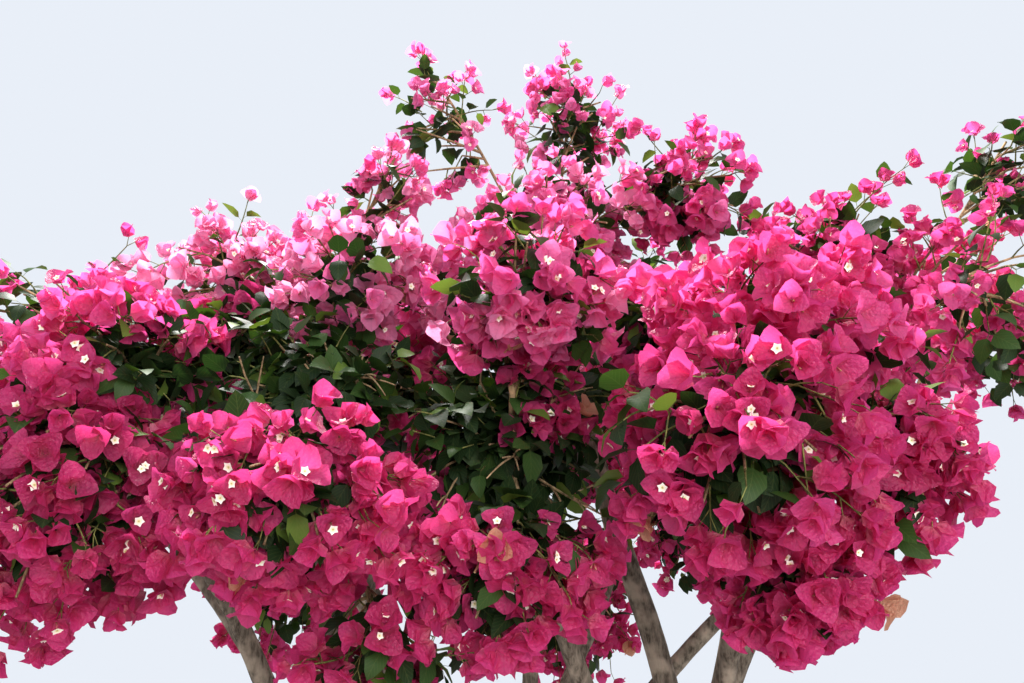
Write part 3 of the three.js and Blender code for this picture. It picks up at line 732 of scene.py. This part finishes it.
def growMass(mass):
    # A stem from the end of the bough to the heart of the mass, and boughlets from it to all sides.
    setup, habit, draw = massSetup, mass.habit, mass.draw
    middle = Vector(mass.at)
    foot = mass.bough.at(1) - mass.bough.heading(1) * setup["footInside"]
    heart = middle + up * habit["heart"] * float(mass.size[2])
    inward = -Vector((heart.x, heart.y, 0)).normalized()
    leaving = mass.bough.heading(1) * habit["leaving"]
    elbow = foot.lerp(heart, habit["elbow"]) + (leaving + inward * habit["inwardBow"]) * (heart - foot).length
    stem = bowed(foot, elbow, heart, 10)
    addWood(stem, *setup["radii"])
    growInnerLeaves(mass, stem, setup["leaves"] * mass.fullness, up, setup)
    for end, florets in loneRows.get(mass.name, []):
        growLone(mass, middle.lerp(Vector(end), loneSetup["from"]), Vector(end), florets)
    if mass.isShady:
        for direction in spreadDirections(bareTwigSetup["count"], draw() * fullTurn, habit["firstWay"]):
            growBareTwig(mass, stem, direction)
    count = round((setup["boughlets"] + mass.girth / setup["girthPerBoughlet"]) * (0.4 + 0.6 * mass.fullness))
    for place, direction in enumerate(spreadDirections(count, draw() * fullTurn, habit["firstWay"])):
        growBoughlet(mass, stem, middle, direction, place / count)


def bladeShape(setup, columns, placeAt):
    # A thin blade: rows of points across it, closed to a point at the foot and at the tip, with its own map.
    points, faces, maps = [placeAt(0, 0)], [], [(0.5, 0.0)]
    inner = list(zip(setup["rows"], setup["widths"]))[1:-1]
    for share, width in inner:
        for u in columns:
            points.append(placeAt(share, u * width))
            maps.append((0.5 + 0.5 * u * width, share))
    points.append(placeAt(1, 0))
    maps.append((0.5, 1.0))
    n, last = len(columns), len(points) - 1
    for c in range(n - 1):
        faces.append((0, 1 + c + 1, 1 + c))
        faces.append((last, last - n + c, last - n + c + 1))
        for r in range(len(inner) - 1):
            low = 1 + r * n + c
            faces.append((low, low + 1, low + n + 1, low + n))
    return points, faces, maps


def joinShapes(shapes):
    points, faces, maps = [], [], []
    for somePoints, someFaces, someMaps in shapes:
        faces += [tuple(i + len(points) for i in face) for face in someFaces]
        points += somePoints
        maps += someMaps
    return points, faces, maps


# Bracts, flowers and leaves: a few shapes of each, set down thousands of times.
bractSetup = {
    "kinds": 14, "closed": (8, 38), "open": (20, 92), "leanSpread": (8, 24), "width": 0.88, "fold": 0.09,
    "cup": 0.12, "spread": (0.4, 1.6), "twist": 0.35, "turn": 0.3, "ripple": 0.13, "ripples": 9,
    "phases": 6.28, "edge": 1.5, "foot": 0.03, "bendSteps": 8, "columns": (-1, -0.5, 0, 0.5, 1),
    "rows": [0, 0.12, 0.37, 0.66, 0.88, 1], "widths": [0.1, 0.78, 1.0, 0.86, 0.45, 0],
}


def oneBract(openness, order, draw):
    # A bract with a bent midrib and edges that cup and ripple. Sizes are shares of its length.
    setup = bractSetup
    lean = [math.radians(blendOf(closed, spread, openness) + width * (draw() - 0.5))
            for closed, spread, width in zip(setup["closed"], setup["open"], setup["leanSpread"])]
    phase, other = draw() * setup["phases"], draw() * setup["phases"]
    fold = setup["fold"] * blendOf(*setup["spread"], draw())
    cup = setup["cup"] * blendOf(*setup["spread"], draw())
    twist = setup["twist"] * (draw() - 0.5)
    around = Quaternion(up, order * fullTurn / 3 + setup["turn"] * (draw() - 0.5))
    steps = setup["bendSteps"]

    def placeAt(share, u):
        outward = depth = 0
        for i in range(steps):
            angle = blendOf(*lean, share * (i + 0.5) / steps)
            outward += math.sin(angle) * share / steps
            depth += math.cos(angle) * share / steps
        angle = blendOf(*lean, share)
        sideways = u * setup["width"] / 2
        wave = math.sin(setup["ripples"] * share + (phase if u > 0 else other))
        rise = fold * abs(u) + cup * u * u + setup["ripple"] * abs(u) ** setup["edge"] * wave
        rise += twist * sideways * share
        outward = setup["foot"] + outward - math.cos(angle) * rise
        return around @ Vector((outward, sideways, depth + math.sin(angle) * rise))

    return bladeShape(setup, setup["columns"], placeAt)


def bractWhorl(kind):
    draw = seededDraws(seeds["bracts"] + kind)
    openness = kind / (bractSetup["kinds"] - 1)
    return joinShapes([oneBract(openness, order, draw) for order in range(3)])


# Flowers: the rings of the tube give a share of its length and a radius. Sizes in millimetres.
flowerSetup = {
    "openShare": 0.6, "sides": 3, "tube": 15.0, "tubeRings": [(0, 0.8), (1, 1.6)],
    "bud": 12.0, "budRings": [(0, 0.8), (0.8, 1.9), (1, 0.5)],
    "star": (6.3, 1.1, 1.0), "notch": (4.3, 0.4, 0.82), "eyeDepth": 0.6, "tubeMap": 0.42,
}


def flowerShape(isOpen):
    # A slim tube that opens to a small five-lobed star, or ends in a closed bud.
    setup = flowerSetup
    sides = setup["sides"]
    rings, length = (setup["tubeRings"], setup["tube"]) if isOpen else (setup["budRings"], setup["bud"])
    points, maps = [], []
    for share, radius in rings:
        for side in range(sides):
            angle = side * fullTurn / sides
            points.append(Vector((radius * math.cos(angle), radius * math.sin(angle), share * length)))
            maps.append((side / sides, setup["tubeMap"] * share))
    faces = wallFaces(len(rings), sides)
    if not isOpen:
        return points, faces, maps
    middle = len(points)
    points.append(Vector((0, 0, length - setup["eyeDepth"])))
    maps.append((0.5, 0.5))
    for rim in range(10):
        angle = rim * math.pi / 5
        reach, rise, along = setup["notch" if rim % 2 else "star"]
        points.append(Vector((reach * math.cos(angle), reach * math.sin(angle), length + rise)))
        maps.append((0.5, along))
        faces.append((middle, middle + 1 + rim, middle + 1 + (rim + 1) % 10))
    return points, faces, maps


leafSetup = {
    "kinds": 8, "width": 0.68, "fold": (0.05, 0.5), "arch": (10, 75), "curl": 0.12, "flatCurl": 0.3,
    "rows": [0, 0.17, 0.48, 0.82, 1], "widths": [0.08, 0.86, 1.0, 0.48, 0],
    "stalk": 0.22, "stalkOverlap": 0.03, "stalkRadius": 0.011, "stalkRise": 0.8,
}


def leafShape(kind):
    # A heart-shaped leaf with a point, folded along its rib and arched, on a short stalk.
    setup = leafSetup
    draw = seededDraws(seeds["leaves"] + kind)
    fold = blendOf(*setup["fold"], draw())
    arch = math.radians(blendOf(*setup["arch"], draw()))
    curl = setup["curl"] * (draw() - setup["flatCurl"])
    stalk, radius = setup["stalk"], setup["stalkRadius"]

    def placeAt(share, u):
        angle = arch * share
        drop = (1 - math.cos(angle)) / arch
        sideways = u * setup["width"] / 2
        rise = abs(sideways) * math.sin(fold) + curl * u * share
        return Vector((sideways * math.cos(fold), stalk + math.sin(angle) / arch, rise - drop))

    blade = bladeShape(setup, (-1, 0, 1), placeAt)
    points = [Vector((across * radius, along, height * radius))
              for along in (0, stalk + setup["stalkOverlap"])
              for across, height in ((-1, 0), (0, setup["stalkRise"]), (1, 0))]
    return joinShapes([(points, [(0, 3, 4, 1), (1, 4, 5, 2)], [(0.5, 0.01)] * len(points)), blade])


def keepShapes(name, shapes):
    # Each shape as a mesh with its map, kept in a collection of shapes to set down.
    into = bpy.data.collections.new(name)
    for order, (points, faces, maps) in enumerate(shapes):
        data = meshOf(f"{name}_{order:02d}", points, faces)
        corners = np.array([maps[loop.vertex_index] for loop in data.loops], np.float32)
        data.uv_layers.new(name="OFBake").data.foreach_set("uv", corners.ravel())
        data.shade_smooth()
        into.objects.link(bpy.data.objects.new(data.name, data))
    return into


bractShapes = keepShapes("bractShape", [bractWhorl(kind) for kind in range(bractSetup["kinds"])])
flowerShapes = keepShapes("flowerShape", [flowerShape(True), flowerShape(False)])
leafShapes = keepShapes("leafShape", [leafShape(kind) for kind in range(leafSetup["kinds"])])

masses = [Mass(order, row) for order, row in enumerate(massRows)]
for mass in masses:
    mass.findBorders([other for other in masses if other is not mass])
for mass in masses:
    growMass(mass)
print("grown:", {kind: len(items) for kind, items in grown.items()})


class Wire:
    # One socket of a node, so that sums in a material can be written as sums.
    def __init__(self, owner, socket):
        self.owner = owner
        self.socket = socket

    def __sub__(self, other):
        return self.owner.maths("SUBTRACT", self, other)

    def __rsub__(self, other):
        return self.owner.maths("SUBTRACT", other, self)

    def __mul__(self, other):
        return self.owner.maths("MULTIPLY", self, other)

    def __pow__(self, other):
        return self.owner.maths("POWER", self, other)

    def __rpow__(self, other):
        return self.owner.maths("POWER", other, self)

    __rmul__ = __mul__


class NodeMaker:
    # Adds nodes to a tree. What it gives back can feed the next node.
    def feed(self, socket, value):
        if isinstance(value, Wire):
            self.tree.links.new(value.socket, socket)
        else:
            socket.default_value = (*value, 1) if socket.type == "RGBA" else value

    def node(self, kind, settings=None, inputs=None, out=0):
        made = self.tree.nodes.new(kind)
        for key, value in (settings or {}).items():
            if key == "stops":
                ramp = made.color_ramp.elements
                while len(ramp) < len(value):
                    ramp.new(0.5)
                for stop, (place, colour) in zip(ramp, value):
                    stop.position = place
                    stop.color = (*colour, 1)
            else:
                setattr(made, key, value)
        for key, value in (inputs or {}).items():
            self.feed(made.inputs[key], value)
        return Wire(self, made.outputs[out])


class Finish(NodeMaker):
    # A material and the few ways in which its nodes are made.
    def __init__(self, name, slot):
        self.material = bpy.data.materials.new(name)
        self.material.use_nodes = True
        self.slot = slot
        self.tree = self.material.node_tree
        self.shader = self.tree.nodes["Principled BSDF"]

    def maths(self, operation, *values):
        return self.node("ShaderNodeMath", {"operation": operation}, dict(enumerate(values)))

    def mix(self, factor, first, second):
        return self.node("ShaderNodeMix", {"data_type": "RGBA"}, {0: factor, 6: first, 7: second}, 2)

    def between(self, value, low, high):
        return self.node("ShaderNodeMapRange", None, {0: value, 1: low, 2: high})

    def bump(self, strength, distance, height):
        inputs = {"Strength": strength, "Distance": distance, "Height": height}
        return self.node("ShaderNodeBump", None, inputs)

    def noise(self, place, scale, detail, roughness=0.5):
        inputs = {"Vector": place, "Scale": scale, "Detail": detail, "Roughness": roughness}
        return self.node("ShaderNodeTexNoise", None, inputs)

    def ownMap(self, part=None):
        # The blade's own map, or one part of it: 0 is across the blade and 1 is along it.
        place = self.node("ShaderNodeUVMap", {"uv_map": "OFBake"})
        return place if part is None else self.node("ShaderNodeSeparateXYZ", None, {0: place}, part)

    def surface(self, **inputs):
        for name, value in inputs.items():
            self.feed(self.shader.inputs[name.replace("_", " ")], value)

    def letLightThrough(self, colour, share):
        # Thin petals and leaves glow when the light is behind them.
        glow = self.node("ShaderNodeBsdfTranslucent", None, {"Color": colour})
        plain = Wire(self, self.shader.outputs[0])
        mixed = self.node("ShaderNodeMixShader", None, {0: share, 1: plain, 2: glow})
        self.feed(self.tree.nodes["Material Output"].inputs["Surface"], mixed)


def shaded(colour, share):
    # A colour made darker, or lighter where the share is above 1.
    return [min(part * share, 1) for part in colour]


def towards(colour, other, share):
    return [blendOf(mine, yours, share) for mine, yours in zip(colour, other)]


def veinPattern(finish, slant, count, width, sideWidth=0.09, sideStrength=0.6):
    # Ribs of a blade: 1 on the midrib, less on the side veins and 0 between.
    offset = finish.maths("ABSOLUTE", finish.ownMap(0) - 0.5)
    rib = finish.maths("LESS_THAN", offset, width)
    side = finish.maths("PINGPONG", (finish.ownMap(1) - offset * slant) * count, 0.5)
    return finish.maths("MAXIMUM", rib, finish.maths("LESS_THAN", side, sideWidth) * sideStrength)


def bractFinish(name, colour, glow, share):
    # Thin crinkled paper with fine ribs, tan at the foot.
    finish = Finish(name, "bract")
    veins = veinPattern(finish, slant=0.9, count=7.0, width=0.018)
    footed = finish.mix((1 - finish.ownMap(1)) ** 5, colour, towards(colour, (0.75, 0.55, 0.35), 0.35))
    ribbed = finish.mix(veins * 0.45, footed, shaded(colour, 0.6))
    finish.surface(Base_Color=ribbed, Roughness=0.38, Specular_IOR_Level=0.5)
    paper = finish.noise(finish.ownMap(), scale=8.0, detail=3.0)
    finish.surface(Normal=finish.bump(strength=0.8, distance=0.006, height=paper - veins * 0.2))
    finish.letLightThrough(glow, share)
    return finish


def leafFinish(name, colour, glow):
    # Leather green with paler veins.
    finish = Finish(name, "leaf")
    veins = veinPattern(finish, slant=1.1, count=6.0, width=0.014)
    ribbed = finish.mix(veins * 0.4, colour, towards(colour, (0.30, 0.38, 0.10), 0.25))
    finish.surface(Base_Color=ribbed, Roughness=0.5, Specular_IOR_Level=0.18)
    finish.surface(Normal=finish.bump(strength=0.3, distance=0.0012, height=1 - veins))
    finish.letLightThrough(glow, 0.16)
    return finish


def flowerFinish():
    # Cream star with a yellow-green eye, on a tube that is pink and green.
    finish = Finish("creamFlower", "flower")
    colour = finish.node("ShaderNodeValToRGB", {"stops": [
        (0.0, (0.30, 0.20, 0.05)), (0.3, (0.55, 0.10, 0.16)), (0.44, (0.40, 0.34, 0.10)),
        (0.5, (0.42, 0.40, 0.05)), (0.62, (0.92, 0.86, 0.52)), (0.8, (0.95, 0.92, 0.80)),
        (1.0, (0.96, 0.94, 0.86)),
    ]}, {0: finish.ownMap(1)})
    finish.surface(Base_Color=colour, Roughness=0.6)
    return finish


def woodFinish(name, slot, young, old, scale, run):
    # Wood with streaks along it and blotches over it, by its place on the plant.
    finish = Finish(name, slot)
    place = finish.node("ShaderNodeTexCoord", out=3)
    stretched = finish.node("ShaderNodeMapping", None, {0: place, 3: (scale, scale, scale * run)})
    streaks = finish.noise(stretched, scale=1.0, detail=5.0, roughness=0.65)
    blotches = finish.noise(place, scale=scale * 0.16, detail=3.0)
    base = finish.mix(finish.between(streaks, 0.36, 0.64), shaded(old, 0.45), young)
    worn = finish.mix(finish.between(blotches, 0.5, 0.66), base, shaded(young, 1.5))
    finish.surface(Base_Color=worn, Roughness=0.86, Specular_IOR_Level=0.2)
    finish.surface(Normal=finish.bump(strength=0.7, distance=0.004, height=streaks))
    return finish


barkFinish = woodFinish("greyBark", "bark", (0.23, 0.185, 0.14), (0.12, 0.09, 0.065), 150.0, 0.22)
twigFinish = woodFinish("tanTwig", "twig", (0.40, 0.28, 0.15), (0.28, 0.18, 0.09), 260.0, 0.4)
greenTwigFinish = woodFinish("greenTwig", "twig", (0.20, 0.21, 0.06), (0.14, 0.12, 0.04), 300.0, 0.4)


class Tree(NodeMaker):
    # A tree of geometry nodes. Its inputs are given as names, each with the kind of its socket.
    def __init__(self, name, inputs):
        self.tree = bpy.data.node_groups.new(name, "GeometryNodeTree")
        self.sockets = {}
        face = self.tree.interface
        for label, kind in {"Geometry": "Geometry", **inputs, "Finish": "Material"}.items():
            self.sockets[label] = face.new_socket(name=label, in_out="INPUT", socket_type="NodeSocket" + kind)
        face.new_socket(name="Geometry", in_out="OUTPUT", socket_type="NodeSocketGeometry")
        self.start = self.tree.nodes.new("NodeGroupInput")
        self.end = self.tree.nodes.new("NodeGroupOutput")

    def given(self, label):
        return Wire(self, self.start.outputs[label])

    def named(self, name, kind):
        return self.node("GeometryNodeInputNamedAttribute", {"data_type": kind}, {"Name": name})

    def finishWith(self, geometry):
        made = self.node("GeometryNodeRealizeInstances", None, {"Geometry": geometry})
        inputs = {"Geometry": made, "Material": self.given("Finish")}
        self.feed(self.end.inputs["Geometry"], self.node("GeometryNodeSetMaterial", None, inputs))

    def apply(self, carrier, values):
        # Runs the tree on an object and gives back the plain mesh that it makes.
        modifier = carrier.modifiers.new(self.tree.name, "NODES")
        modifier.node_group = self.tree
        for label, value in values.items():
            modifier[self.sockets[label].identifier] = value
        bpy.context.view_layer.update()
        made = plainMesh(carrier)
        bpy.data.objects.remove(carrier)
        return made


def makeTwigTree():
    # Round wood along lines of points, as thick as each point says.
    tree = Tree("twigs", {"Sides": "Int", "Caps": "Bool"})
    lines = tree.node("GeometryNodeMeshToCurve", None, {"Mesh": tree.given("Geometry")})
    size = {"Resolution": tree.given("Sides"), "Radius": 1.0}
    ring = tree.node("GeometryNodeCurvePrimitiveCircle", {"mode": "RADIUS"}, size)
    wood = tree.node("GeometryNodeCurveToMesh", None, {
        "Curve": lines, "Profile Curve": ring, "Scale": tree.named("thickness", "FLOAT"),
        "Fill Caps": tree.given("Caps")})
    tree.finishWith(tree.node("GeometryNodeSetShadeSmooth", None, {"Geometry": wood, "Shade Smooth": True}))
    return tree


def makeScatterTree():
    # One of several shapes on each point, turned, sized and picked as the point says.
    tree = Tree("scatter", {"Shapes": "Collection"})
    shapes = tree.node("GeometryNodeCollectionInfo", None, {
        "Collection": tree.given("Shapes"), "Separate Children": True, "Reset Children": True})
    tree.finishWith(tree.node("GeometryNodeInstanceOnPoints", None, {
        "Points": tree.node("GeometryNodeMeshToPoints", None, {"Mesh": tree.given("Geometry")}),
        "Instance": shapes, "Pick Instance": True, "Instance Index": tree.named("kind", "INT"),
        "Rotation": tree.named("turn", "QUATERNION"), "Scale": tree.named("size", "FLOAT")}))
    return tree


twigTree = makeTwigTree()
scatterTree = makeScatterTree()


def giveEach(data, name, kind, values):
    # Writes one value at each point of a mesh, for the tree to read.
    data.attributes.new(name, kind, "POINT").data.foreach_set("value", values)


def finishPiece(name, mesh, slot, nodes):
    piece = addObject(name, mesh)
    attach(piece, "root")
    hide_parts(*nodes)
    mesh.calc_loop_triangles()
    print(f"{name}: {len(mesh.loop_triangles)} triangles")


def makeTwigs(name, lines, sides, caps, finish):
    # All lines of one kind of wood as one mesh of edges, which the tree then clothes.
    points, edges, thickness = [], [], []
    for line in lines:
        first = len(points)
        points += [point * mm for point, radius in line]
        thickness += [radius * mm for point, radius in line]
        edges += [(i, i + 1) for i in range(first, len(points) - 1)]
    data = meshOf(name, points, edges=edges)
    giveEach(data, "thickness", "FLOAT", thickness)
    mesh = twigTree.apply(addObject(name, data), {"Sides": sides, "Caps": caps, "Finish": finish.material})
    finishPiece(name, mesh, finish.slot, massNodes)


def scatter(name, items, shapes, finish):
    # All blades of one kind and colour as one mesh.
    data = meshOf(name, [item[0] * mm for item in items])
    giveEach(data, "turn", "QUATERNION", np.array([tuple(item[1]) for item in items], np.float32).ravel())
    giveEach(data, "size", "FLOAT", [item[2] * mm for item in items])
    giveEach(data, "kind", "INT", [item[3] for item in items])
    mesh = scatterTree.apply(addObject(name, data), {"Shapes": shapes, "Finish": finish.material})
    finishPiece(name, mesh, finish.slot, massNodes)


makeTwigs("woodyTwigs", grown["wood"], 5, True, twigFinish)
makeTwigs("greenTwigs", grown["green"], 3, False, greenTwigFinish)
makeTwigs("blossomStalks", grown["stalk"], 3, False, greenTwigFinish)
for order, (tint, colours) in enumerate(tints.items()):
    florets = [item for item in grown["floret"] if item[4] == order]
    scatter(tint + "Bracts", florets, bractShapes, bractFinish(tint + "Bract", *colours))
for order, (shade, colours) in enumerate(shades.items()):
    leaves = [item for item in grown["leaf"] if item[4] == order]
    scatter(shade + "Leaves", leaves, leafShapes, leafFinish(shade + "Leaf", *colours))
scatter("creamFlowers", grown["flower"], flowerShapes, flowerFinish())
for shapes in (bractShapes, flowerShapes, leafShapes):
    for shape in list(shapes.objects):
        bpy.data.objects.remove(shape)
    bpy.data.collections.remove(shapes)

bark.data.materials.clear()
bark.data.materials.append(barkFinish.material)
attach(bark, "root")
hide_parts("trunk", *[row[0] for row in limbRows])
print("plant finished")

# Stage: a plain pale floor, soft light from all round and a broad light above and behind.
stageSetup = {
    "floorSize": 30.0, "floorColour": (0.40, 0.39, 0.375), "floorRoughness": 0.8,
    "skyColour": (0.84, 0.89, 0.97), "skyStrength": 0.97,
    "lights": [
        ("highBack", (-0.5, 0.9, 5.8), (0.0, -0.3, 2.0), 1.1, 590, (1.0, 0.98, 0.95)),
        ("frontFill", (1.3, -4.6, 2.2), (0.1, 0.0, 1.9), 2.8, 172, (1.0, 0.98, 0.98)),
    ],
}


def makeStage():
    size = stageSetup["floorSize"] / 2
    corners = [(-size, -size, 0), (size, -size, 0), (size, size, 0), (-size, size, 0)]
    floor = addObject("floor", meshOf("floor", corners, [(0, 1, 2, 3)]))
    paint = Finish("paleFloor", "floor")
    paint.surface(Base_Color=stageSetup["floorColour"], Roughness=stageSetup["floorRoughness"])
    floor.data.materials.append(paint.material)
    world = bpy.data.worlds.new("softSky")
    bpy.context.scene.world = world
    world.use_nodes = True
    sky = world.node_tree.nodes["Background"]
    sky.inputs[0].default_value = (*stageSetup["skyColour"], 1)
    sky.inputs[1].default_value = stageSetup["skyStrength"]
    for name, place, target, width, power, colour in stageSetup["lights"]:
        lamp = bpy.data.lights.new(name, "AREA")
        lamp.shape = "DISK"
        lamp.size = width
        lamp.energy = power
        lamp.color = colour
        lit = addObject(name, lamp)
        lit.location = place
        lit.rotation_euler = (Vector(target) - Vector(place)).to_track_quat("-Z", "Y").to_euler()
    bpy.context.scene.view_settings.view_transform = "Standard"


makeStage()
print("stage set")
